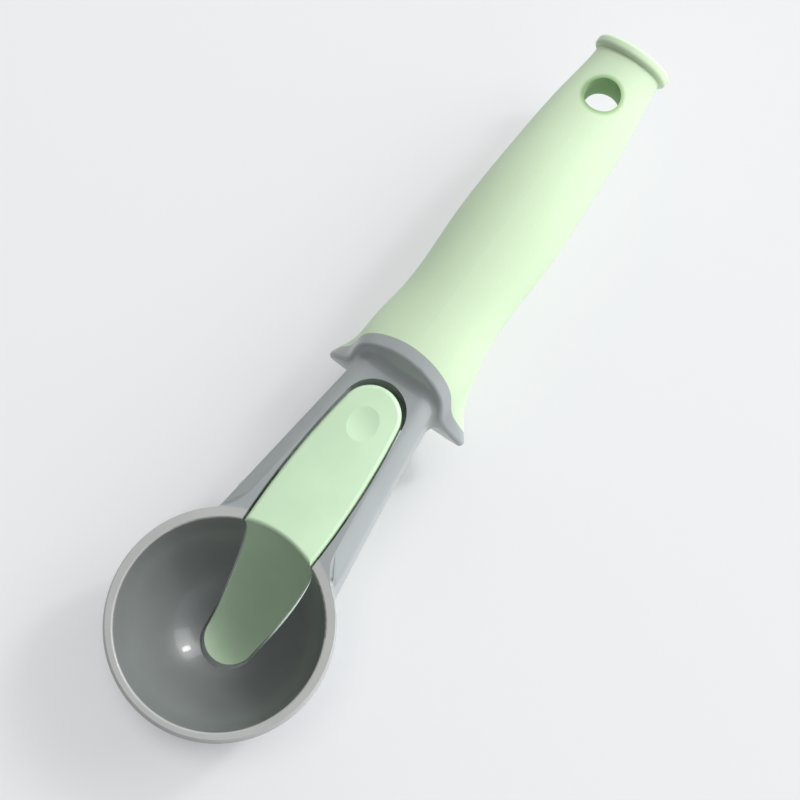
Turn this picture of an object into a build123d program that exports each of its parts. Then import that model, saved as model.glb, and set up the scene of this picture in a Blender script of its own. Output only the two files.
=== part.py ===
from build123d import *

import os
from math import cos, radians, sin

# Lever ice cream scoop. A grey moulding makes the bowl, the open neck, the guard and the tang. A sprung
# lever, whose tongue lies flush in the bowl, turns on a steel pin behind the rim. The handle is a rigid
# core on the tang under a soft sleeve with a hanging hole.
# Frame: millimetres, +X from the bowl to the handle's end, +Z up out of the bowl's mouth. The origin is
# under the middle of the length, at the level of the bowl's lowest point. "Reach" is a distance along X
# from the bowl's centre, and "drop" is a distance down from the rim.

# Bowl
bowl_inner_radius = 27.2
bowl_wall = 2.8
bowl_band = 2.0              # straight band under the rim, above the half sphere
rim_edge_radius = 0.6         # inner edge
rim_bevel_width = 1.0         # outer edge, widest at the bowl's tip
rim_bevel_height = 1.4
rim_bevel_shift = 0.59        # moves the bevel's axis so that it runs out beside the neck

# Neck and its slot
neck_half_width_front = 20.3  # within the bowl
neck_half_width_rear = 12.0   # within the guard
neck_front_inset = 18.0       # from the bowl's outside into the bowl
neck_rear_length = 4.0        # behind the slot's end
neck_depth_front = 20.0
neck_depth_middle = 13.8
neck_depth_rear = 15.5
neck_edge_radius = 4.2
neck_root_radius = 4.5        # blend of the neck into the bowl
slot_side_gap = 0.65
slot_tip_gap = 1.5
slot_rear_gap = 1.9

# Lever, seen from above
tongue_tip_reach = -9.2
tongue_tip_radius = 7.2
tongue_turn = 7.0             # degrees, how far the tongue's sides open from its tip
tongue_rim_inset = 3.0        # from the bowl's inner wall
tongue_rim_half_width = 10.45
pad_half_width = 10.65
pad_waist_length = 10.0       # from the pivot
pad_length = 42.1             # from the pivot to the pad's end
pad_end_radius = 8.4
pad_turn = 9.0                # degrees, how far the pad's sides close towards its end

# Lever, seen from the side
pad_proud = 1.0               # how far the thumb pad's crown stands above the rim
pad_crown_radius = 70.0
pad_plate = 2.4
pad_skirt_front = 6.6
pad_skirt_rear = 4.2
pad_wall = 1.8
pad_edge_radius = 1.2
tongue_thickness = 2.2
tongue_edge_radius = 1.0      # rounding under the tongue's edge
hollow_length = 6.5           # from the pivot to the front of the hollow under the pad
rib_length = 14.0             # from the pivot to the rib's front
thumb_dish_inset = 11.1       # from the pad's end
thumb_dish_radius = 26.0
thumb_dish_depth = 0.45
centre_rib = 1.6

# Pivot
pivot_setback = 2.0           # behind the bowl's outside
pivot_drop = 7.0
pin_radius = 1.25
pin_fit = 0.05                # radial running clearance of the pin
pin_head_radius = 2.2
pin_head_height = 1.2
pin_seat_half_width = 17.3    # where the pin's head bears, from the middle of the neck
pin_end_half_width = 16.9
pin_seat_radius = 2.6
pin_head_edge = 0.3
pin_chamfer = 0.25
hub_radius = 4.3
hub_side_gap = 0.4
cheek_rear_length = 4.4       # from the pivot
bay_half_width = 3.6          # bay for the spring between the hub's two cheeks
bay_gap = 0.4                 # from the spring's coil to the bay's round front
lever_travel = 12.0           # degrees, from the tongue flush in the bowl to the pad pressed home
stop_gap = 0.3

# Stops moulded in the neck
web_length = 6.2              # from the pivot to the cross web, which the lever's heels rest against
web_thickness = 3.0
web_drop = 10.4               # from the rim to the web's top
heel_drop_top = 8.5
heel_drop_bottom = 12.2
heel_slant = 3.0
heel_inset = 0.3
shelf_width = 5.1             # of the shelf that the pressed pad lands on, up to the pad's end

# Return spring
wire_radius = 0.4
coil_mean_radius = 1.98
coil_pitch = 0.95
coil_turns = 4
pad_leg_length = 13.0
pad_leg_rise = 14.0           # degrees
web_leg_length = 7.5
web_leg_fall = 8.0

# Guard
guard_thickness = 3.6
guard_edge_radius = 1.2
guard_setback = 2.6           # from the slot's end to the guard's rear edge, where it is farthest forward

# Handle
grip_length = 110.6           # from the guard's rear edge
handle_axis_drop = 5.5
sleeve_wall = 2.2
lip_thickness = 3.5
lip_overhang = 1.35
lip_edge_radius = 1.3
hole_inset = 16.6             # from the grip's end
hole_radius = 5.0
hole_mouth_radius = 1.5

# Tang and core
tang_width = 13.0
tang_height = 9.0
tang_setback = 1.0            # from the slot's end, within the guard
tang_length = 73.0
tang_flange = 2.0
tang_web = 3.0
tang_fit = 0.1
core_end_wall = 4.5           # of the sleeve, lip included, behind the core

# Places along X, each from the piece that it follows
bowl_outer_radius = bowl_inner_radius + bowl_wall
tongue_rim_reach = bowl_inner_radius - tongue_rim_inset
pivot_reach = bowl_outer_radius + pivot_setback
cheek_rear_reach = pivot_reach + cheek_rear_length
web_reach = pivot_reach + web_length
hollow_reach = pivot_reach + hollow_length
rib_reach = pivot_reach + rib_length
pad_waist_reach = pivot_reach + pad_waist_length
pad_end_reach = pivot_reach + pad_length
thumb_dish_reach = pad_end_reach - thumb_dish_inset
shelf_reach = pad_end_reach - shelf_width
slot_end_reach = pad_end_reach + slot_rear_gap
neck_front_reach = bowl_outer_radius - neck_front_inset
neck_rear_reach = slot_end_reach + neck_rear_length
guard_reach = slot_end_reach + guard_setback
tang_front_reach = slot_end_reach + tang_setback
tang_rear_reach = tang_front_reach + tang_length
handle_end_reach = guard_reach + grip_length
hole_reach = handle_end_reach - hole_inset
shelf_drop = (
    pivot_drop + stop_gap + (pad_end_reach - pivot_reach) * sin(radians(lever_travel))
    - (pivot_drop + pad_proud - pad_skirt_rear) * cos(radians(lever_travel))
)
bowl_x = (bowl_outer_radius - handle_end_reach) / 2
rim_z = bowl_band + bowl_inner_radius + tongue_thickness
ball_z = rim_z - bowl_band
pivot_x = bowl_x + pivot_reach
pivot_z = rim_z - pivot_drop
handle_axis_z = rim_z - handle_axis_drop
clear = 5.0                   # how far cutting tools run past what they cut
bowl_axis = Axis((bowl_x, 0, 0), (0, 0, 1))


def bowl_form(radius, top_z):
    """Solid bowl: a half sphere under a straight band that ends at top_z."""
    with BuildPart() as form:
        with BuildSketch(Plane.XZ):
            with BuildLine():
                arc = CenterArc((bowl_x, ball_z), radius, -90, 90)
                side = Line(arc @ 1, (bowl_x + radius, top_z))
                top = Line(side @ 1, (bowl_x, top_z))
                Line(top @ 1, arc @ 0)
            make_face()
        revolve(axis=bowl_axis)
    return form.part


def lever_plan(side_gap, tip_gap, rear_gap, bottom_z, top_z):
    """Upright prism over the lever's outline seen from above, grown by the given gaps."""
    tip_radius = tongue_tip_radius + side_gap
    tip_x = bowl_x + tongue_tip_reach - tip_gap
    end_radius = pad_end_radius + side_gap
    end_x = bowl_x + pad_end_reach + rear_gap
    with BuildPart() as prism:
        with BuildSketch(Plane.XY.offset(bottom_z)):
            with BuildLine():
                tip = CenterArc((tip_x + tip_radius, 0), tip_radius, 180, tongue_turn - 90)
                end = CenterArc((end_x - end_radius, 0), end_radius, 90 - pad_turn, pad_turn - 90)
                Spline(
                    tip @ 1, (bowl_x + tongue_rim_reach, tongue_rim_half_width + side_gap),
                    (bowl_x + pad_waist_reach, pad_half_width + side_gap), end @ 0,
                    tangents=(tip % 1, end % 0),
                )
                mirror(about=Plane.XZ)
            make_face()
        extrude(amount=top_z - bottom_z)
    return prism.part


# Handle stations: reach, half width, half height, and flare, which is 1 where the guard's wings spread. The
# front ones follow the guard, and the rear ones follow the grip's end.
handle_stations = (
    (guard_reach - 6.6, 15.4, 11.0, 1.0),
    (guard_reach - 0.6, 15.6, 11.0, 1.0),
    (guard_reach + 3.9, 16.2, 11.0, 0.5),
    (guard_reach + 9.4, 16.0, 11.0, 0.2),
    (guard_reach + 21.4, 14.3, 10.8, 0.0),
    (guard_reach + 43.4, 14.45, 11.0, 0.0),
    (handle_end_reach - 39.2, 13.5, 10.0, 0.0),
    (handle_end_reach - 19.2, 11.8, 7.4, 0.0),
    (handle_end_reach - 7.2, 10.15, 6.3, 0.0),
    (handle_end_reach - lip_thickness, 9.95, 6.25, 0.0),
)
# The guard's rear edge seen from the side: how far it lies behind its foremost part, and its drop
guard_border = ((0.2, 24.0), (0.0, 12.0), (1.0, 6.0), (4.7, -1.2), (9.4, -8.0))
wing_half_width = 20.6
wing_drop = 12.0              # from the handle's axis to the wing's edge
guard_bottom_drop = 15.0      # from the handle's axis to the guard's underside


def handle_section(half_width, half_height, flare):
    """Closed outline of the handle in its own plane: an oval whose lower sides spread with flare."""
    points = []
    for turn in range(0, 360, 30):
        side = sin(radians(turn))
        up = cos(radians(turn))
        y = half_width * side
        z = half_height * up
        if turn in (120, 240):
            y += flare * (wing_half_width - half_width * abs(side)) * (1 if side > 0 else -1)
            z += flare * (-wing_drop - half_height * up)
        if turn in (150, 210):
            y += flare * 0.35 * wing_half_width * (1 if side > 0 else -1)
            z += flare * (-guard_bottom_drop + 0.4 - half_height * up)
        if turn == 180:
            z += flare * (half_height - guard_bottom_drop)
        points.append((y, z + handle_axis_z))
    return points


def handle_form(inset):
    """Solid handle, lofted through its stations, with its skin moved inwards by inset."""
    with BuildPart() as form:
        for reach, half_width, half_height, flare in handle_stations:
            with BuildSketch(Plane.YZ.offset(bowl_x + reach)):
                with BuildLine():
                    Spline(*handle_section(half_width - inset, half_height - inset, flare), periodic=True)
                make_face()
        loft()
    return form.part


def border_points(shift):
    """Points of the guard's rear edge seen from the side, moved along X by shift."""
    return [(bowl_x + (guard_reach + setback) + shift, rim_z - drop) for setback, drop in guard_border]


def behind(shift, end_x):
    """Slab behind the guard's edge line, moved by shift, and in front of end_x."""
    points = border_points(shift)
    with BuildPart() as slab:
        with BuildSketch(Plane.XZ):
            with BuildLine():
                edge = Spline(*points)
                top = Line(edge @ 1, (end_x, points[-1][1]))
                back = Line(top @ 1, (end_x, points[0][1]))
                Line(back @ 1, edge @ 0)
            make_face()
        extrude(amount=wing_half_width + clear, both=True)
    return slab.part


def drum(radius, half_width, x=pivot_x, z=pivot_z):
    """Solid cylinder across the scoop, centred on its middle plane."""
    with BuildPart() as form:
        with BuildSketch(Plane((x, 0, z), x_dir=(1, 0, 0), z_dir=(0, -1, 0))):
            Circle(radius)
        extrude(amount=half_width, both=True)
    return form.part


handle_end_x = bowl_x + handle_end_reach
hole_x = bowl_x + hole_reach
neck_front_x = bowl_x + neck_front_reach
neck_rear_x = bowl_x + neck_rear_reach
slot_end_x = bowl_x + pad_end_reach + slot_rear_gap
os.makedirs("parts", exist_ok=True)
bowl_outside = bowl_form(bowl_outer_radius, rim_z)
bowl_inside = bowl_form(bowl_inner_radius, rim_z + clear)
tongue_outside = bowl_form(bowl_inner_radius + tongue_thickness, rim_z)
handle_skin = handle_form(0)
core_skin = handle_form(sleeve_wall)
behind_guard = behind(0, handle_end_x)
behind_face = behind(-guard_thickness, handle_end_x)

# Neck: a tapered beam whose underside rises in a long arc between the bowl and the guard
with BuildPart() as neck:
    with BuildSketch(Plane.XY.offset(rim_z)):
        with BuildLine():
            Polyline(
                (neck_front_x, neck_half_width_front), (neck_rear_x, neck_half_width_rear),
                (neck_rear_x, -neck_half_width_rear), (neck_front_x, -neck_half_width_front),
                close=True,
            )
        make_face()
    extrude(amount=-rim_z)
    with BuildSketch(Plane.XZ):
        with BuildLine():
            belly = ThreePointArc(
                (neck_front_x, rim_z - neck_depth_front),
                ((neck_front_x + neck_rear_x) / 2, rim_z - neck_depth_middle),
                (neck_rear_x, rim_z - neck_depth_rear),
            )
            rear = Line(belly @ 1, (neck_rear_x, rim_z))
            top = Line(rear @ 1, (neck_front_x, rim_z))
            Line(top @ 1, belly @ 0)
        make_face()
    extrude(amount=neck_half_width_front + clear, both=True, mode=Mode.INTERSECT)
    long_edges = neck.edges().filter_by(lambda edge: abs(edge.center().Y) > neck_half_width_rear / 2)
    long_edges = long_edges.filter_by(lambda edge: edge.length > (neck_rear_x - neck_front_x) / 2)
    fillet(long_edges, neck_edge_radius)

# Cutter for the rim's outer bevel: a cone whose axis stands off the bowl's, towards the neck
with BuildPart() as rim_bevel:
    bevel_x = bowl_x + rim_bevel_shift
    bevel_radius = bowl_outer_radius - rim_bevel_width + rim_bevel_shift
    with BuildSketch(Plane.XZ):
        with BuildLine():
            Polyline(
                (bevel_x + bevel_radius, rim_z),
                (bevel_x + bevel_radius + 2 * rim_bevel_width, rim_z - 2 * rim_bevel_height),
                (bevel_x + bevel_radius + 2 * rim_bevel_width, rim_z + clear),
                (bevel_x + bevel_radius, rim_z + clear),
                close=True,
            )
        make_face()
    revolve(axis=Axis((bevel_x, 0, 0), (0, 0, 1)))

# The neck starts inside the bowl's wall, so that the rim keeps its own inner edge.
with BuildPart() as neck_stub:
    add(neck)
    add(bowl_form(bowl_inner_radius + bowl_wall / 2, rim_z + clear), mode=Mode.SUBTRACT)

# Cutter for the lever's slot, which leaves a cross web and a shelf of the neck standing
with BuildPart() as slot:
    add(lever_plan(slot_side_gap, slot_tip_gap, slot_rear_gap, -clear, rim_z + clear))
    with BuildSketch(Plane.XZ):
        with Locations((bowl_x + web_reach, rim_z - web_drop)):
            Rectangle(web_thickness, rim_z, align=(Align.MIN, Align.MAX))
        with Locations((bowl_x + shelf_reach, rim_z - shelf_drop)):
            Rectangle(slot_end_x + clear - bowl_x - shelf_reach, rim_z, align=(Align.MIN, Align.MAX))
    extrude(amount=neck_half_width_front, both=True, mode=Mode.SUBTRACT)

# Guard: a saddle that follows the handle's flared front, with a rolled front edge
with BuildPart() as guard:
    add(handle_skin)
    add(behind_face, mode=Mode.INTERSECT)
    add(behind_guard, mode=Mode.SUBTRACT)
    rims = guard.edges().filter_by(lambda edge: edge.length > wing_half_width and abs(edge.center().Y) > clear)
    fillet(rims.sort_by(Axis.X)[:2], guard_edge_radius)
    add(slot, mode=Mode.SUBTRACT)

with BuildPart() as tang:
    with BuildSketch(Plane.YZ.offset(bowl_x + tang_front_reach)):
        with Locations((0, handle_axis_z)):
            Rectangle(tang_width, tang_height)
        flute = (tang_width - tang_web) / 2
        for side in (-1, 1):
            with Locations((side * (tang_web + flute) / 2, handle_axis_z)):
                Rectangle(flute, tang_height - 2 * tang_flange, mode=Mode.SUBTRACT)
    extrude(amount=tang_rear_reach - tang_front_reach)

with BuildPart() as scoop_body:
    add(bowl_outside)
    add(bowl_inside, mode=Mode.SUBTRACT)
    add(rim_bevel, mode=Mode.SUBTRACT)
    add(neck_stub)
    add(slot, mode=Mode.SUBTRACT)
    neck_roots = scoop_body.edges().filter_by(
        lambda edge: bowl_inner_radius / 2 < edge.center().X - bowl_x < bowl_outer_radius
        and edge.length < bowl_outer_radius and abs(edge.center().Y) > bowl_wall
        and edge.center().Z < rim_z - bowl_band
    )
    fillet(neck_roots, neck_root_radius)
    inner_rim = scoop_body.edges().filter_by(GeomType.CIRCLE).filter_by(
        lambda edge: abs(edge.radius - bowl_inner_radius) < rim_edge_radius / 2 and edge.center().Z > rim_z - 1e-3
    )
    fillet(inner_rim, rim_edge_radius)
    add(guard)
    add(behind_guard, mode=Mode.SUBTRACT)
    add(tang)
    add(drum(pin_radius + pin_fit, bowl_outer_radius), mode=Mode.SUBTRACT)
    with BuildSketch(Plane((pivot_x, pin_seat_half_width, pivot_z), x_dir=(-1, 0, 0), z_dir=(0, 1, 0))):
        Circle(pin_seat_radius)
    extrude(amount=clear, mode=Mode.SUBTRACT)
scoop_body.part.label = "scoop_body"
export_step(scoop_body.part, "parts/scoop_body.step")

# Rigid core of the handle, closed round the tang
with BuildPart() as handle_core:
    add(core_skin)
    add(behind(0, handle_end_x - core_end_wall), mode=Mode.INTERSECT)
    with BuildSketch(Plane.XY):
        with Locations((hole_x, 0)):
            Circle(hole_radius + sleeve_wall)
    extrude(amount=rim_z + clear, mode=Mode.SUBTRACT)
core_outside = handle_core.part

with BuildPart() as handle_core:
    add(core_outside)
    with BuildSketch(Plane.YZ.offset(bowl_x + tang_front_reach - clear)):
        with Locations((0, handle_axis_z)):
            Rectangle(tang_width + 2 * tang_fit, tang_height + 2 * tang_fit)
    extrude(amount=tang_rear_reach - tang_front_reach + clear + tang_fit, mode=Mode.SUBTRACT)
handle_core.part.label = "handle_core"
export_step(handle_core.part, "parts/handle_core.step")

# Soft sleeve over the core, with the lip at its end and the lined hanging hole
with BuildPart() as grip_sleeve:
    add(handle_skin)
    add(behind_guard, mode=Mode.INTERSECT)
    with BuildSketch(Plane.YZ.offset(handle_end_x - lip_thickness)) as lip_outline:
        with BuildLine():
            end_station = handle_stations[-1]
            Spline(*handle_section(end_station[1] + lip_overhang, end_station[2] + lip_overhang, 0), periodic=True)
        make_face()
    extrude(amount=lip_thickness)
    lip_edges = grip_sleeve.edges().filter_by(lambda edge: edge.center().X > handle_end_x - lip_thickness - 1e-3)
    fillet(lip_edges.sort_by(SortBy.LENGTH)[-2:], lip_edge_radius)
    add(core_outside, mode=Mode.SUBTRACT)
    with BuildSketch(Plane.XY):
        with Locations((hole_x, 0)):
            Circle(hole_radius)
    extrude(amount=rim_z + clear, mode=Mode.SUBTRACT)
    mouths = grip_sleeve.edges().filter_by(
        lambda edge: abs(edge.center().X - hole_x) < hole_radius and abs(edge.center().Y) < hole_radius / 2
        and hole_radius * 5 < edge.length < hole_radius * 7
    )
    fillet(mouths, hole_mouth_radius)
grip_sleeve.part.label = "grip_sleeve"
export_step(grip_sleeve.part, "parts/grip_sleeve.step")

# Thumb pad: a crowned plate with skirts, before it is hollowed from below
pad_top_z = rim_z + pad_proud
crown_side = pad_half_width + 1
crown_sag = pad_crown_radius - (pad_crown_radius ** 2 - crown_side ** 2) ** 0.5
with BuildPart() as pad:
    with BuildSketch(Plane.YZ.offset(bowl_x)):
        with BuildLine():
            crown = ThreePointArc(
                (-crown_side, pad_top_z - crown_sag), (0, pad_top_z), (crown_side, pad_top_z - crown_sag)
            )
            right = Line(crown @ 1, (crown_side, pad_top_z - pad_skirt_front))
            under = Line(right @ 1, (-crown_side, pad_top_z - pad_skirt_front))
            Line(under @ 1, crown @ 0)
        make_face()
    extrude(amount=pad_end_reach)
    with BuildSketch(Plane.XZ):
        with BuildLine():
            Polyline(
                (bowl_x, rim_z + clear), (slot_end_x, rim_z + clear),
                (slot_end_x, pad_top_z - pad_skirt_rear), (bowl_x + pad_end_reach, pad_top_z - pad_skirt_rear),
                (pivot_x + hub_radius, pad_top_z - pad_skirt_front), (bowl_x, pad_top_z - pad_skirt_front),
                close=True,
            )
        make_face()
    extrude(amount=pad_half_width + clear, both=True, mode=Mode.INTERSECT)
    add(lever_plan(0, 0, 0, -clear, rim_z + clear), mode=Mode.INTERSECT)
    add(bowl_inside, mode=Mode.SUBTRACT)
    top_face = pad.faces().sort_by(lambda face: face.center().Z)[-1]
    fillet(top_face.edges(), pad_edge_radius)
    with Locations((bowl_x + thumb_dish_reach, 0, pad_top_z - thumb_dish_depth + thumb_dish_radius)):
        Sphere(thumb_dish_radius, mode=Mode.SUBTRACT)

with BuildPart() as pad_hollow:
    add(lever_plan(-pad_wall, 0, -pad_wall, -clear, pad_top_z - pad_plate))
    with BuildSketch(Plane.XZ):
        with Locations((bowl_x + hollow_reach, 0)):
            Rectangle(slot_end_x - bowl_x - hollow_reach, rim_z, align=(Align.MIN, Align.MIN))
    extrude(amount=pad_half_width + clear, both=True, mode=Mode.INTERSECT)
    with BuildSketch(Plane.XY):
        with Locations((bowl_x + rib_reach, 0)):
            Rectangle(slot_end_x - bowl_x - rib_reach, centre_rib, align=(Align.MIN, Align.CENTER))
    extrude(amount=rim_z + clear, mode=Mode.SUBTRACT)

# Tongue: a strip of the bowl's own form, flush with its inside
ball_centre = Vector(bowl_x, 0, ball_z)
with BuildPart() as tongue:
    add(tongue_outside)
    add(bowl_inside, mode=Mode.SUBTRACT)
    add(lever_plan(0, 0, 0, -clear, ball_z), mode=Mode.INTERSECT)
    under_edges = tongue.edges().filter_by(GeomType.BSPLINE).filter_by(
        lambda edge: abs((edge @ 0.5 - ball_centre).length - bowl_inner_radius - tongue_thickness) < 0.01
    )
    fillet(under_edges, tongue_edge_radius)

# Spring bay between the hub's cheeks, round in front of the coil and open behind and below it
with BuildPart() as bay:
    add(drum(coil_mean_radius + wire_radius + bay_gap, bay_half_width))
    with BuildSketch(Plane.XZ):
        with Locations((pivot_x, pad_top_z - pad_plate)):
            Rectangle(hollow_reach - pivot_reach + pad_wall, rim_z, align=(Align.MIN, Align.MAX))
    extrude(amount=bay_half_width, both=True)

with BuildPart() as lever:
    add(tongue)
    add(pad)
    add(drum(hub_radius, pad_half_width + slot_side_gap - hub_side_gap))
    with BuildSketch(Plane.XZ):
        with BuildLine():
            heel_x = bowl_x + web_reach - stop_gap
            Polyline(
                (pivot_x, pivot_z - hub_radius), (heel_x - heel_slant, rim_z - heel_drop_bottom),
                (heel_x, rim_z - heel_drop_bottom), (heel_x, rim_z - heel_drop_top),
                (bowl_x + cheek_rear_reach, rim_z - heel_drop_top), (bowl_x + cheek_rear_reach, rim_z - bowl_band),
                (pivot_x, rim_z - bowl_band), close=True,
            )
        make_face()
    extrude(amount=pad_half_width - heel_inset, both=True)
    add(pad_hollow, mode=Mode.SUBTRACT)
    add(bay, mode=Mode.SUBTRACT)
    add(drum(pin_radius + pin_fit, bowl_outer_radius), mode=Mode.SUBTRACT)
lever.part.label = "lever"
export_step(lever.part, "parts/lever.step")

# Pivot pin, with a domed head that bears on the neck's seat
with BuildPart() as pivot_pin:
    with BuildSketch(Plane((pivot_x, -pin_end_half_width, pivot_z), x_dir=(-1, 0, 0), z_dir=(0, 1, 0))):
        Circle(pin_radius)
    extrude(amount=pin_end_half_width + pin_seat_half_width)
    chamfer(pivot_pin.edges().sort_by(Axis.Y)[0], pin_chamfer)
    with BuildSketch(Plane((pivot_x, pin_seat_half_width, pivot_z), x_dir=(-1, 0, 0), z_dir=(0, 1, 0))):
        Circle(pin_head_radius)
    extrude(amount=pin_head_height)
    fillet(pivot_pin.edges().sort_by(Axis.Y)[-1], pin_head_height - pin_head_edge)
pivot_pin.part.label = "pivot_pin"
export_step(pivot_pin.part, "parts/pivot_pin.step")

# Return spring: a torsion spring round the pin, with one leg under the pad and one on the cross web
coil_turn = coil_turns + (180 - pad_leg_rise - web_leg_fall) / 360
coil_height = coil_pitch * coil_turn
coil_plane = Plane(
    (pivot_x, coil_height / 2, pivot_z),
    x_dir=(-sin(radians(pad_leg_rise)), 0, cos(radians(pad_leg_rise))), z_dir=(0, -1, 0),
)
coil = coil_plane * Helix(coil_pitch, coil_height, coil_mean_radius)
with BuildPart() as return_spring:
    with BuildSketch(Plane(coil @ 0, z_dir=coil % 0)) as wire:
        Circle(wire_radius)
    sweep(path=coil, is_frenet=True)
    extrude(wire.sketch, amount=-pad_leg_length)
    with BuildSketch(Plane(coil @ 1, z_dir=coil % 1)):
        Circle(wire_radius)
    extrude(amount=web_leg_length)
return_spring.part.label = "return_spring"
export_step(return_spring.part, "parts/return_spring.step")
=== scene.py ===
"""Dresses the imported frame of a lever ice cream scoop: its plastics, soft grip, steel pin and spring wire."""

import math

import bmesh
import bpy
import numpy as np
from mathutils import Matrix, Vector


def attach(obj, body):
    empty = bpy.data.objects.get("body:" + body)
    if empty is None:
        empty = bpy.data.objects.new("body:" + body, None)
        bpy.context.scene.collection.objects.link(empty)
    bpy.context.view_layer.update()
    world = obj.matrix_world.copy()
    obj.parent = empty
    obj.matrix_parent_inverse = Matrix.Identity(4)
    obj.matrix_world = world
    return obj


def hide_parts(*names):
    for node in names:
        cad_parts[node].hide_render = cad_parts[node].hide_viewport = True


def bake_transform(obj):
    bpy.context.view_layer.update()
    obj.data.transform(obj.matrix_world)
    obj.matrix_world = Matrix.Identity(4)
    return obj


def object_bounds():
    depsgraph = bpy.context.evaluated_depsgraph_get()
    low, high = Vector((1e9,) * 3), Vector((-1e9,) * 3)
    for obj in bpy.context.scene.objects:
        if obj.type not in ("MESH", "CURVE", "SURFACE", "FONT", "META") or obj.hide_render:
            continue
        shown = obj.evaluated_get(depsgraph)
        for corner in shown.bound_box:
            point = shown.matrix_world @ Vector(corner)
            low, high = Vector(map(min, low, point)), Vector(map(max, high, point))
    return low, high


bl_info = {
    "name": "Lever Scoop Dresser",
    "version": (1, 0, 0),
    "blender": (4, 5, 0),
    "location": "3D View > Sidebar > Scoop",
    "description": "Finishes for the pieces of a lever ice cream scoop, with a plain stage",
    "category": "Object",
}

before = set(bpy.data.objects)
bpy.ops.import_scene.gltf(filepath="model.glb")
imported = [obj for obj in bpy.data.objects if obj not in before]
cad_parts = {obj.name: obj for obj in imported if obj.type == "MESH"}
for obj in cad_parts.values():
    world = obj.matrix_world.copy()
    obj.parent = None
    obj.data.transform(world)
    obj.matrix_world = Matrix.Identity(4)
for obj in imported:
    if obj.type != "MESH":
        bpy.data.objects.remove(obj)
CAD_LOW, CAD_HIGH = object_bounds()
BLACK = (0.0, 0.0, 0.0, 1.0)
WHITE = (1.0, 1.0, 1.0, 1.0)

# Places on the CAD pieces, in metres. A pair is where a change of colour starts and where it ends: painted
# shade inside the bowl and in the hanging hole, and a painted highlight on the bowl's top edge.
BOWL_CENTRE = (-0.0796, 0.0, 0.0294)
BOWL_INNER_RADIUS = 0.0272
BOWL_SKIN = (0.0002, 0.0010)      # past the inner radius, from the painted shade of the bowl's inside to the lighter grey outside
# Painted highlight: a paler band on the bowl's top edge, between these heights and these radii from its upright
# axis
RIM_HEIGHT = (0.0298, 0.0310)
RIM_INSIDE = (0.0270, 0.0276)
RIM_OUTSIDE = (0.0297, 0.0305)
HOLE_X = 0.0930
# Painted shade in the hanging hole: a deeper green that fades out between these radii from its axis
HOLE_PAINTED_SHADE = (0.0050, 0.0066)

# The neck and the guard where they meet, in millimetres
NECK_TOP = 31.4
NECK_MIDDLE = -33.6
NECK_HALF_LENGTH = 34.0
NECK_HALF_WIDTHS = (20.3, 12.0)            # at its front end and at its rear end
NECK_DEPTHS = (20.0, 13.8, 15.5)           # at its front end, middle and rear end
NECK_EDGE_RADIUS = 4.2
GUARD_FRONT = -4.6                         # the foremost place of the guard's front face
GUARD_PLACES = ((0.2, 24.0), (0.0, 12.0), (1.0, 6.0), (4.7, -1.2), (9.4, -8.0))  # behind that, under the top
CURVE_POINTS = 60                          # on each piece of the curve through those places

# The cove between them, in millimetres
OUTLINE_POINTS = 9                         # on each flat and each rounded edge of half the neck's outline
COVE_RADII = (                             # at points of that outline, from its top round to its underside
    (0, 2.4), (8, 2.4), (13, 1.5), (18, 1.5), (22, 2.5), (26, 3.6), (32, 3.6), (44, 3.2),
)
COVE_POINTS = 13                           # across the cove
COVE_SINK = 0.04                           # how far the cove's borders lie under the plastic
COVE_ROOT = 0.8                            # how deep its hidden corner lies
COVE_ROUNDS = 4                            # after which height and station agree with each other

# For every new piece
CREASE = 50.0                              # degrees, past which an edge stays sharp
MERGE_GAP = 1e-7                           # metres, within which two corners become one

# The stage, in metres
NECK_SHADE_MIDDLE = -0.032                 # the floor under bowl and neck keeps its shadow, as far as these
NECK_SHADE_END = (0.024, 0.040)
NECK_SHADE_SIDE = (0.008, 0.026)
BOWL_SHADE = (0.026, 0.040)
LIGHT_SIDE = (0.89, -0.45)                 # over the floor, towards the side that the daylight comes from
LIGHT_TURN = (-0.95, 0.5)                  # along that direction, from the dim side to the bright side
LIGHT_LOW = (0.5, 0.95)                    # height of a direction, where the daylight starts and ends to fade
LIGHT_FADE = 0.8                           # the share of it that is lost there
LAMP_AIM = (-0.02, 0.0, 0.0)
WINDOW_PLACE = (1.36, -0.68, 1.28)
WINDOW_SIZE = (0.18, 0.34)
SOFT_BOX_PLACE = (1.40, -0.90, 1.15)
SOFT_BOX_SIZE = (1.2, 1.2)
CAMERA_PLACE = (-0.06597, -0.07829, 0.45981)
CAMERA_TURNS = (12.1176, 3.3681, -54.3200)  # degrees about X, Y and Z
SENSOR_WIDTH = 36.0                        # millimetres


class Value:
    """A socket of a material on its way through the nodes. Its operators add Math nodes."""

    def __init__(self, finish, socket):
        self.finish = finish
        self.socket = socket

    def maths(self, operation, *others):
        return self.finish.node("ShaderNodeMath", {"operation": operation}, dict(enumerate((self, *others))))

    def __add__(self, other):
        return self.maths("ADD", other)

    __radd__ = __add__

    def __sub__(self, other):
        return self.maths("SUBTRACT", other)

    def __rsub__(self, other):
        return self.finish.node("ShaderNodeMath", {"operation": "SUBTRACT"}, {0: other, 1: self})

    def __mul__(self, other):
        return self.maths("MULTIPLY", other)

    __rmul__ = __mul__

    def __pow__(self, other):
        return self.maths("POWER", other)

    def __abs__(self):
        return self.maths("ABSOLUTE")

    def between(self, low, high):
        """0 up to low, 1 from high, and a smooth rise between them."""
        settings = {"interpolation_type": "SMOOTHSTEP", "clamp": True}
        return self.finish.node("ShaderNodeMapRange", settings, {0: self, 1: low, 2: high}, "Result")


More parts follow.
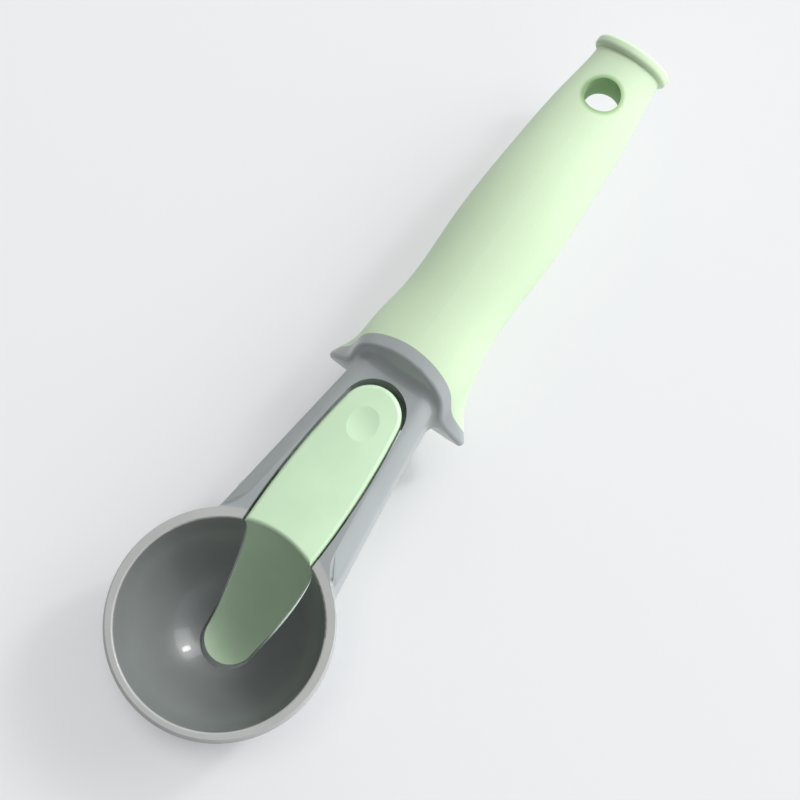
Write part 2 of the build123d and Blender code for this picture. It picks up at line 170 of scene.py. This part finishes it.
class Finish:
    """A procedural material or world, built node by node round its one shader."""

    def __init__(self, owner, shader="BSDF_PRINCIPLED"):
        self.owner = owner
        self.owner.use_nodes = True
        self.tree = self.owner.node_tree
        self.shader = next(n for n in self.tree.nodes if n.type == shader)

    @classmethod
    def named(cls, name):
        """A new material of that name."""
        return cls(bpy.data.materials.new(name))

    def node(self, kind, settings=None, values=None, output=0):
        """Adds a node, sets it up, fills or links its sockets and gives one of its outputs."""
        made = self.tree.nodes.new(kind)
        for key, setting in (settings or {}).items():
            setattr(made, key, setting)
        for key, value in (values or {}).items():
            if isinstance(value, Value):
                self.tree.links.new(value.socket, made.inputs[key])
            else:
                made.inputs[key].default_value = value
        return Value(self, made.outputs[output])

    def place(self, space="Object"):
        """The point's place in the row frame, in metres, or a world's direction with Generated."""
        return self.node("ShaderNodeTexCoord", output=space)

    def axes(self, space="Object"):
        """The place's X, Y and Z, each a value of its own."""
        split = self.tree.nodes.new("ShaderNodeSeparateXYZ")
        self.tree.links.new(self.place(space).socket, split.inputs[0])
        return [Value(self, socket) for socket in split.outputs]

    def distance(self, centre):
        """How far the place is from a centre, in metres."""
        along, across, up = (place - middle for place, middle in zip(self.axes(), centre))
        return (along * along + across * across + up * up) ** 0.5

    def aside(self, station):
        """How far the place is from the upright line at a station on X, in metres."""
        along, across, _ = self.axes()
        along = along - station
        return (along * along + across * across) ** 0.5

    def noise(self, grain, detail=2.0):
        """Noise from 0 to 1 whose grains are about so many metres across."""
        values = {"Vector": self.place(), "Scale": 1.0 / grain, "Detail": detail}
        return self.node("ShaderNodeTexNoise", {"noise_dimensions": "3D"}, values, "Fac")

    def mottle(self, patch, detail=2.0):
        """Soft-edged patches of 0 and 1 that are about so many metres across."""
        return self.noise(patch, detail).between(0.3, 0.7)

    def seen(self):
        """1 for rays that end at the camera, straight or by way of metal or glass, and 0 for the others."""
        rays = self.tree.nodes.new("ShaderNodeLightPath")
        straight, glossy, through = (
            Value(self, rays.outputs[name])
            for name in ("Is Camera Ray", "Is Glossy Ray", "Is Transmission Ray")
        )
        return straight.maths("MAXIMUM", glossy).maths("MAXIMUM", through)

    def mix(self, share, first, second):
        """Colour that goes from first to second as share goes from 0 to 1."""
        settings = {"data_type": "RGBA", "clamp_factor": True}
        return self.node("ShaderNodeMix", settings, {0: share, 6: first, 7: second}, 2)

    def bump(self, height, depth):
        """Normal for a height from 0 to 1 over so many metres of depth."""
        return self.node("ShaderNodeBump", None, {"Height": height, "Distance": depth})

    def set(self, **values):
        """Fills or links the shader's own sockets, whose names are written with underscores."""
        for key, value in values.items():
            socket = self.shader.inputs[key.replace("_", " ")]
            if isinstance(value, Value):
                self.tree.links.new(value.socket, socket)
            else:
                socket.default_value = value
        return self.owner


def shade(colour, factor):
    """The colour times a factor, with its alpha kept."""
    return tuple(channel * factor for channel in colour[:3]) + (1.0,)


def guard_face(height):
    """Where the guard's front face stands at a height.

    Seen from the side, the face is a cubic spline through the guard's places, over the chords between them.
    Each piece keeps the places and the slopes at its two ends. The slopes between pieces are those at which
    the bend runs on evenly, and the outermost two are those of the cubic through the four nearest places.
    """
    setback, drop = np.array(GUARD_PLACES).T
    places = np.stack([GUARD_FRONT + setback, NECK_TOP - drop], axis=1)
    step = np.diff(places, axis=0)
    chord = np.hypot(*step.T)
    reach = np.append(0.0, np.cumsum(chord))
    last = len(places) - 1
    system = np.eye(len(places))
    slope = np.zeros(places.shape)
    for end, near in ((0, slice(0, 4)), (last, slice(-4, None))):
        cubic = np.polyfit(reach[near] - reach[end], places[near], 3)
        slope[end] = cubic[2]
    for inner in range(1, last):
        before, after = 1.0 / chord[inner - 1], 1.0 / chord[inner]
        system[inner, inner - 1:inner + 2] = (before, 2.0 * (before + after), after)
        slope[inner] = 3.0 * (step[inner - 1] * before ** 2 + step[inner] * after ** 2)
    slope = np.linalg.solve(system, slope)
    share = np.linspace(0.0, 1.0, CURVE_POINTS)[:, None, None]
    curve = (
        places[:-1] + share * chord[:, None] * slope[:-1]
        + share ** 2 * (3.0 * step - chord[:, None] * (2.0 * slope[:-1] + slope[1:]))
        + share ** 3 * (chord[:, None] * (slope[:-1] + slope[1:]) - 2.0 * step)
    )
    station, level = curve.transpose(2, 1, 0).reshape(2, -1)
    return np.interp(height, level, station)


def neck_underside(along):
    """Height of the neck's underside: a parabola through its depths at the front end, middle and rear end."""
    front, middle, rear = NECK_DEPTHS
    share = (along - NECK_MIDDLE) / NECK_HALF_LENGTH
    return NECK_TOP - middle - (rear - front) / 2 * share - ((front + rear) / 2 - middle) * share ** 2


def neck_half_width(along):
    """Half of the neck's width, which changes evenly from its front end to its rear end."""
    front, rear = NECK_HALF_WIDTHS
    return (front + rear) / 2 + (rear - front) / 2 * (along - NECK_MIDDLE) / NECK_HALF_LENGTH


def neck_outline():
    """Half of the neck's rounded outline, from the middle of its top down its side to its underside's middle.

    Each point has a share of the flat half width, a share of the way from the upper to the lower edge's
    centre, the angle of its outward normal from straight up, and the radius of the cove that leaves it.
    """
    flat = np.linspace(0.0, 1.0, OUTLINE_POINTS)
    turn = np.linspace(0.0, np.pi / 2, OUTLINE_POINTS)
    none = np.zeros(OUTLINE_POINTS)
    full = np.ones(OUTLINE_POINTS)
    width = np.concatenate([flat, full, full, full, flat[::-1]])
    depth = np.concatenate([none, none, flat, full, full])
    angle = np.concatenate([none, turn, none + np.pi / 2, turn + np.pi / 2, none + np.pi])
    radius = np.interp(np.arange(width.size), *zip(*COVE_RADII))
    moved = (np.diff(width) != 0) | (np.diff(depth) != 0) | (np.diff(angle) != 0)
    keep = np.append(True, moved)
    return width[keep], depth[keep], angle[keep], radius[keep]


def cove_grid():
    """Points of the cove between neck and guard, as a grid of rings round its own path, in metres.

    Across the path runs a quarter circle that is tangent to the neck, one radius ahead of the guard, and to
    the guard's face, one radius off the neck. Its last point lies inside both, so that each ring closes out
    of sight.
    """
    half = neck_outline()
    side = np.concatenate([np.ones(half[0].size), -np.ones(half[0].size - 2)])
    width, depth, angle, radius = (np.concatenate([part, part[-2:0:-1]]) for part in half)
    sweep = np.linspace(0.0, np.pi / 2, COVE_POINTS)
    hidden = np.full((radius.size, 1), -COVE_ROOT)
    off, ahead = (
        np.append(np.outer(radius, 1.0 - part) - COVE_SINK, hidden, axis=1)
        for part in (np.sin(sweep), np.cos(sweep))
    )
    upper = NECK_TOP - NECK_EDGE_RADIUS
    along = np.zeros(off.shape)
    for _ in range(COVE_ROUNDS):
        lower = neck_underside(along) + NECK_EDGE_RADIUS
        centre = upper + depth[:, None] * (lower - upper)
        height = centre + (NECK_EDGE_RADIUS + off) * np.cos(angle)[:, None]
        along = guard_face(height) - ahead
    flat = neck_half_width(along) - NECK_EDGE_RADIUS
    across = side[:, None] * (width[:, None] * flat + (NECK_EDGE_RADIUS + off) * np.sin(angle)[:, None])
    return np.stack([along, across, height], axis=2) / 1000.0


def smooth_piece(mesh):
    """Object of a mesh, with every face smooth and the creases sharp."""
    mesh.polygons.foreach_set("use_smooth", np.ones(len(mesh.polygons), dtype=bool))
    mesh.set_sharp_from_angle(angle=math.radians(CREASE))
    piece = bpy.data.objects.new(mesh.name, mesh)
    bpy.context.scene.collection.objects.link(piece)
    return piece


def closed_rings(name, grid):
    """Piece whose faces join each point of a grid to the next ones, closing on itself both ways."""
    first = np.arange(grid[..., 0].size).reshape(grid.shape[:2])
    after = np.roll(first, -1, axis=0)
    faces = np.stack([first, np.roll(first, -1, axis=1), np.roll(after, -1, axis=1), after], axis=2)
    mesh = bpy.data.meshes.new(name)
    mesh.from_pydata(grid.reshape(-1, 3).tolist(), [], faces.reshape(-1, 4).tolist())
    return smooth_piece(mesh)


def merged_copy(node, name):
    """Copy of a CAD node's mesh, with its loose triangles joined."""
    form = bmesh.new()
    form.from_mesh(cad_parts[node].data)
    bmesh.ops.remove_doubles(form, verts=form.verts, dist=MERGE_GAP)
    mesh = bpy.data.meshes.new(name)
    form.to_mesh(mesh)
    form.free()
    return smooth_piece(mesh)


def body_plastic(colours):
    """Grey plastic moulding: semi-gloss, a faint mottle and the fine grain of the mould. Painted shade makes
    the bowl's inside a darker grey, and a painted highlight makes its top edge paler.
    """
    finish = Finish.named("body_plastic")
    grain = finish.noise(0.0006)
    smudge = finish.noise(0.020)
    # Painted shade: the bowl's inside takes a darker copy of the grey, and past it the outside takes a lighter
    # copy, which holds painted light.
    off_inside_shade = finish.distance(BOWL_CENTRE).between(*(BOWL_INNER_RADIUS + depth for depth in BOWL_SKIN))
    aside = finish.aside(BOWL_CENTRE[0])
    _, _, up = finish.axes()
    # Painted highlight: a paler band on the bowl's top edge.
    painted_rim_highlight = up.between(*RIM_HEIGHT) * aside.between(*RIM_INSIDE) * (1.0 - aside.between(*RIM_OUTSIDE))
    base = finish.mix(off_inside_shade, tuple(colours.bowl), tuple(colours.body))
    base = finish.mix(painted_rim_highlight, base, tuple(colours.painted_rim_highlight))
    return finish.set(
        Base_Color=finish.mix(finish.mottle(0.012, 3.0) * 0.06, base, BLACK),
        Roughness=0.27 + smudge * 0.10,
        Normal=finish.bump(grain, 0.000012),
        Coat_Weight=0.3,
        Coat_Roughness=0.05,
        IOR=1.5,
    )


def grip_rubber(colours):
    """Pale green soft-touch sleeve: matte, with a very fine even grain, and painted shade in its hole: a deeper
    green on the hole's wall and round its mouth.
    """
    finish = Finish.named("grip_rubber")
    grain = finish.noise(0.00045)
    # Painted shade: a deeper green on the hole's wall, fading out round its mouth.
    outside = finish.aside(HOLE_X).between(*HOLE_PAINTED_SHADE)
    base = finish.mix(outside, tuple(colours.painted_hole_shade), tuple(colours.grip))
    return finish.set(
        Base_Color=finish.mix(finish.mottle(0.025) * 0.03, base, BLACK),
        Roughness=0.52 + grain * 0.12,
        Normal=finish.bump(grain, 0.00003),
        Sheen_Weight=0.15,
        IOR=1.45,
    )


def lever_plastic(colours):
    """Pale green lever plastic: satin, smoother than the grip."""
    finish = Finish.named("lever_plastic")
    base = tuple(colours.lever)
    grain = finish.noise(0.0005)
    return finish.set(
        Base_Color=finish.mix(finish.mottle(0.010), shade(base, 0.98), shade(base, 1.02)),
        Roughness=0.26 + grain * 0.08,
        Normal=finish.bump(grain, 0.00001),
        IOR=1.48,
    )


def core_plastic(colours):
    """Plain natural plastic of the handle's core."""
    finish = Finish.named("core_plastic")
    base = tuple(colours.core)
    grain = finish.noise(0.0008)
    return finish.set(
        Base_Color=finish.mix(grain, shade(base, 0.97), base),
        Roughness=0.5 + grain * 0.1,
        Normal=finish.bump(grain, 0.00001),
    )


def steel(name, colour, roughness, mark_size):
    """Bare steel with fine marks whose size is in metres."""
    finish = Finish.named(name)
    marks = finish.noise(mark_size, 3.0)
    return finish.set(
        Base_Color=finish.mix(marks, shade(colour, 0.9), colour),
        Metallic=1.0,
        Roughness=roughness + marks * 0.12,
        Normal=finish.bump(marks, 0.000006),
    )


def dress(node, material):
    """Gives a CAD node its material in every slot."""
    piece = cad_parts[node]
    if not piece.material_slots:
        piece.data.materials.append(material)
    for slot in piece.material_slots:
        slot.material = material


class ScoopColours(bpy.types.PropertyGroup):
    """Colours of the pieces, as light reflected."""

    # The grey with painted light in it: lighter than the plastic's own, against the painted shade of the bowl's
    # inside.
    body: bpy.props.FloatVectorProperty(
        name="Body", description="Grey of the bowl's outside, neck and guard", subtype="COLOR", size=4,
        min=0.0, max=1.0, default=(0.40, 0.43, 0.43, 1.0),
    )
    # Painted shade: a darker copy of the grey, for the bowl's inside.
    bowl: bpy.props.FloatVectorProperty(
        name="Bowl", description="Grey of the bowl's shaded inside", subtype="COLOR", size=4,
        min=0.0, max=1.0, default=(0.225, 0.24, 0.237, 1.0),
    )
    # Painted highlight: a paler copy of the grey, for the bowl's top edge.
    painted_rim_highlight: bpy.props.FloatVectorProperty(
        name="Rim", description="Paler grey of the bowl's rim", subtype="COLOR", size=4,
        min=0.0, max=1.0, default=(0.52, 0.53, 0.51, 1.0),
    )
    grip: bpy.props.FloatVectorProperty(
        name="Grip", description="Green of the soft sleeve", subtype="COLOR", size=4,
        min=0.0, max=1.0, default=(0.67, 0.835, 0.575, 1.0),
    )
    # Painted shade: a deeper green for the hanging hole's wall and mouth.
    painted_hole_shade: bpy.props.FloatVectorProperty(
        name="Hole_shade", description="Deeper green inside the hanging hole", subtype="COLOR", size=4,
        min=0.0, max=1.0, default=(0.30, 0.50, 0.21, 1.0),
    )
    lever: bpy.props.FloatVectorProperty(
        name="Lever", description="Green of the thumb pad and tongue", subtype="COLOR", size=4,
        min=0.0, max=1.0, default=(0.68, 0.90, 0.625, 1.0),
    )
    core: bpy.props.FloatVectorProperty(
        name="Core", description="Natural plastic of the handle's core", subtype="COLOR", size=4,
        min=0.0, max=1.0, default=(0.70, 0.72, 0.68, 1.0),
    )
    pin: bpy.props.FloatVectorProperty(
        name="Pin", description="Polished steel of the pivot pin", subtype="COLOR", size=4,
        min=0.0, max=1.0, default=(0.62, 0.62, 0.61, 1.0),
    )
    wire: bpy.props.FloatVectorProperty(
        name="Wire", description="Drawn steel of the return spring", subtype="COLOR", size=4,
        min=0.0, max=1.0, default=(0.50, 0.50, 0.50, 1.0),
    )


class ScoopStage(bpy.types.PropertyGroup):
    """Floor, lamps and camera."""

    floor_size: bpy.props.FloatProperty(
        name="Floor size", description="Width of the floor", unit="LENGTH", default=4.0, min=0.5,
    )
    floor_colour: bpy.props.FloatVectorProperty(
        name="Floor", description="Colour of the floor", subtype="COLOR", size=4,
        min=0.0, max=1.0, default=(0.88, 0.885, 0.90, 1.0),
    )
    floor_glow: bpy.props.FloatProperty(
        name="Floor glow", description="Share of the floor's colour that the camera sees without its shadows",
        default=0.5, min=0.0, max=1.0,
    )
    world_dim: bpy.props.FloatProperty(
        name="World, bowl side", description="Light from beyond the bowl and from above",
        default=0.12, min=0.0,
    )
    world_bright: bpy.props.FloatProperty(
        name="World, handle side", description="Light from beyond the handle, low down", default=1.2, min=0.0,
    )
    window_power: bpy.props.FloatProperty(
        name="Window lamp", description="Power of the small lamp beyond the handle", unit="POWER",
        default=8.0, min=0.0,
    )
    soft_power: bpy.props.FloatProperty(
        name="Soft box", description="Power of the wide lamp at the handle's right side", unit="POWER",
        default=20.0, min=0.0,
    )
    lens: bpy.props.FloatProperty(
        name="Lens", description="Focal length on a 36 mm sensor", unit="CAMERA", default=75.98, min=1.0,
    )


class SCOOP_OT_body(bpy.types.Operator):
    """Gives the bowl, neck and guard their grey plastic, and adds the cove between neck and guard"""

    bl_idname = "scoop.body"
    bl_label = "Bowl, Neck and Guard"

    def execute(self, context):
        plastic = body_plastic(context.scene.scoop_colours)
        dress("scoop_body", plastic)
        cove = closed_rings("guard_cove", cove_grid())
        cove.data.materials.append(plastic)
        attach(cove, "scoop")
        return {"FINISHED"}


class SCOOP_OT_handle(bpy.types.Operator):
    """Gives the handle's sleeve its soft green and its core plain plastic"""

    bl_idname = "scoop.handle"
    bl_label = "Handle"

    def execute(self, context):
        colours = context.scene.scoop_colours
        dress("grip_sleeve", grip_rubber(colours))
        dress("handle_core", core_plastic(colours))
        return {"FINISHED"}


class SCOOP_OT_lever(bpy.types.Operator):
    """Gives the thumb lever and its tongue their satin green"""

    bl_idname = "scoop.lever"
    bl_label = "Lever"

    def execute(self, context):
        dress("lever", lever_plastic(context.scene.scoop_colours))
        return {"FINISHED"}


class SCOOP_OT_steel(bpy.types.Operator):
    """Gives the pivot pin its steel, and the return spring a copy in spring wire"""

    bl_idname = "scoop.steel"
    bl_label = "Pin and Spring"

    def execute(self, context):
        colours = context.scene.scoop_colours
        dress("pivot_pin", steel("pin_steel", tuple(colours.pin), 0.12, 0.0008))
        spring = merged_copy("return_spring", "torsion_spring")
        spring.data.materials.append(steel("spring_wire", tuple(colours.wire), 0.25, 0.0004))
        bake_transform(spring)
        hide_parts("return_spring")
        return {"FINISHED"}


def floor_paint(colour, glow):
    """Pale paint that the camera sees in part without shadows, but for the floor under bowl and neck."""
    finish = Finish.named("floor_paint")
    along, across, _ = finish.axes()
    off_end = abs(along - NECK_SHADE_MIDDLE).between(*NECK_SHADE_END)
    off_neck = abs(across).between(*NECK_SHADE_SIDE).maths("MAXIMUM", off_end)
    off_bowl = finish.aside(BOWL_CENTRE[0]).between(*BOWL_SHADE)
    seen = finish.seen() * off_bowl * off_neck
    return finish.set(
        Base_Color=finish.mix(seen, colour, shade(colour, 1.0 - glow)),
        Emission_Color=finish.mix(seen, BLACK, shade(colour, glow)),
        Emission_Strength=1.0,
        Roughness=0.9,
    )


def floor_plane(size):
    """Square floor, centred under the scoop at its lowest point."""
    corners = size / 2 * np.array([(-1.0, -1.0, 0.0), (1.0, -1.0, 0.0), (1.0, 1.0, 0.0), (-1.0, 1.0, 0.0)])
    corners[:, 2] = CAD_LOW[2]
    mesh = bpy.data.meshes.new("floor")
    mesh.from_pydata(corners.tolist(), [], [(0, 1, 2, 3)])
    floor = bpy.data.objects.new("floor", mesh)
    bpy.context.scene.collection.objects.link(floor)
    return floor


def daylight(dim, bright):
    """World that is bright low down on the daylight's side, and dim on the other side and from above."""
    studio = Finish(bpy.data.worlds.new("studio"), "BACKGROUND")
    across, deep, up = studio.axes("Generated")
    bright_side = (across * LIGHT_SIDE[0] + deep * LIGHT_SIDE[1]).between(*LIGHT_TURN)
    low_down = 1.0 - up.between(*LIGHT_LOW) * LIGHT_FADE
    cool_white = (0.98, 1.0, 1.02)
    return studio.set(Color=studio.mix(bright_side * low_down, shade(WHITE, dim), shade(cool_white, bright)))


def area_lamp(name, place, size, power):
    """Rectangular lamp of a width and a height at a place, turned to the scoop."""
    data = bpy.data.lights.new(name, "AREA")
    data.shape = "RECTANGLE"
    data.size, data.size_y = size
    data.energy = power
    lamp = bpy.data.objects.new(name, data)
    lamp.location = place
    lamp.rotation_euler = (Vector(LAMP_AIM) - Vector(place)).to_track_quat("-Z", "Y").to_euler()
    bpy.context.scene.collection.objects.link(lamp)


def placed_camera(lens):
    """Camera over the bowl, with the handle running away to the upper right."""
    data = bpy.data.cameras.new("camera")
    data.lens = lens
    data.sensor_width = SENSOR_WIDTH
    data.clip_start = 0.01
    camera = bpy.data.objects.new("camera", data)
    camera.location = CAMERA_PLACE
    camera.rotation_euler = tuple(math.radians(turn) for turn in CAMERA_TURNS)
    bpy.context.scene.collection.objects.link(camera)
    return camera


class SCOOP_OT_stage(bpy.types.Operator):
    """Makes the pale floor, the daylight, the soft lamps and the camera"""

    bl_idname = "scoop.stage"
    bl_label = "Stage"

    def execute(self, context):
        scene = context.scene
        stage = scene.scoop_stage
        floor = floor_plane(stage.floor_size)
        floor.data.materials.append(floor_paint(tuple(stage.floor_colour), stage.floor_glow))
        scene.world = daylight(stage.world_dim, stage.world_bright)
        area_lamp("window_lamp", WINDOW_PLACE, WINDOW_SIZE, stage.window_power)
        area_lamp("soft_box", SOFT_BOX_PLACE, SOFT_BOX_SIZE, stage.soft_power)
        scene.camera = placed_camera(stage.lens)
        scene.view_settings.view_transform = "Standard"
        return {"FINISHED"}


class SCOOP_PT_panel(bpy.types.Panel):
    """Lists the scoop's colours, pieces and stage"""

    bl_idname = "SCOOP_PT_panel"
    bl_label = "Lever Scoop"
    bl_space_type = "VIEW_3D"
    bl_region_type = "UI"
    bl_category = "Scoop"

    def draw(self, context):
        for group in (context.scene.scoop_colours, context.scene.scoop_stage):
            box = self.layout.box()
            for name in group.__annotations__:
                box.prop(group, name)
        for operator in PIECES:
            self.layout.operator(operator.bl_idname)


PIECES = (SCOOP_OT_body, SCOOP_OT_handle, SCOOP_OT_lever, SCOOP_OT_steel, SCOOP_OT_stage)
CLASSES = (ScoopColours, ScoopStage, *PIECES, SCOOP_PT_panel)


def register():
    for made in CLASSES:
        bpy.utils.register_class(made)
    bpy.types.Scene.scoop_colours = bpy.props.PointerProperty(type=ScoopColours)
    bpy.types.Scene.scoop_stage = bpy.props.PointerProperty(type=ScoopStage)


def unregister():
    del bpy.types.Scene.scoop_stage
    del bpy.types.Scene.scoop_colours
    for made in reversed(CLASSES):
        bpy.utils.unregister_class(made)


def main():
    register()
    bpy.ops.scoop.body()
    bpy.ops.scoop.handle()
    bpy.ops.scoop.lever()
    bpy.ops.scoop.steel()
    bpy.ops.scoop.stage()


if __name__ == "__main__":
    main()
